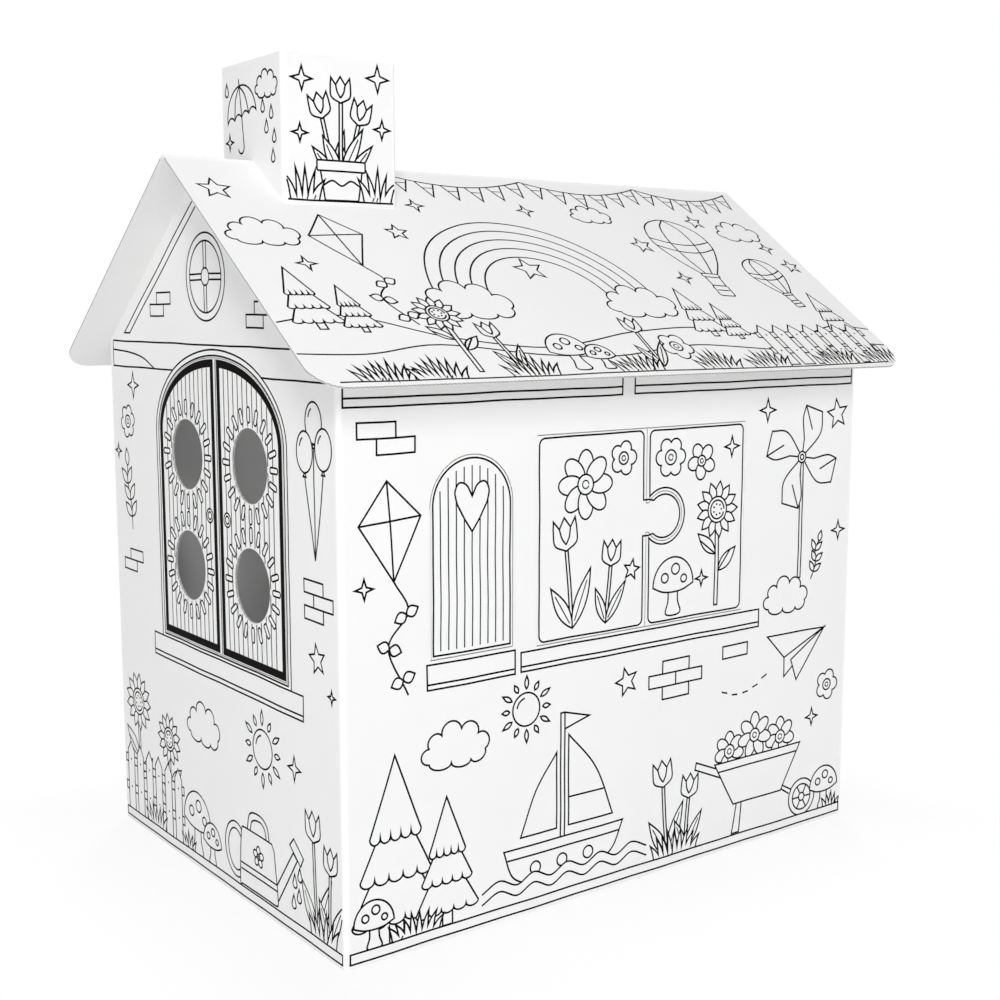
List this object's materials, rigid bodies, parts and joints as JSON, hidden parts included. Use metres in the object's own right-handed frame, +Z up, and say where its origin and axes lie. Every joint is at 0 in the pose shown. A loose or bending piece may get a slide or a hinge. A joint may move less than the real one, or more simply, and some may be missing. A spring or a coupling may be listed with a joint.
{
  "type": "cardboard playhouse",
  "caption": "Child-size folded card house for colouring in, with gabled walls, a die-cut arched window with round holes, a door, an overhanging roof and a chimney.",
  "frame": {"origin": "middle of the footprint under the roof, on the floor", "axes": "+X along the ridge towards the door gable, +Y towards the plain long wall, +Z up; the chimney stands near the -X gable, which has the arched window"},
  "size_m": [1.064, 0.81, 1.168],
  "materials": {
    "white_board": "matte"
  },
  "bodies": {
    "root": {"wall_sheet": "white_board", "roof_sheet": "white_board", "chimney_sleeve": "white_board"}
  },
  "joints": []
}
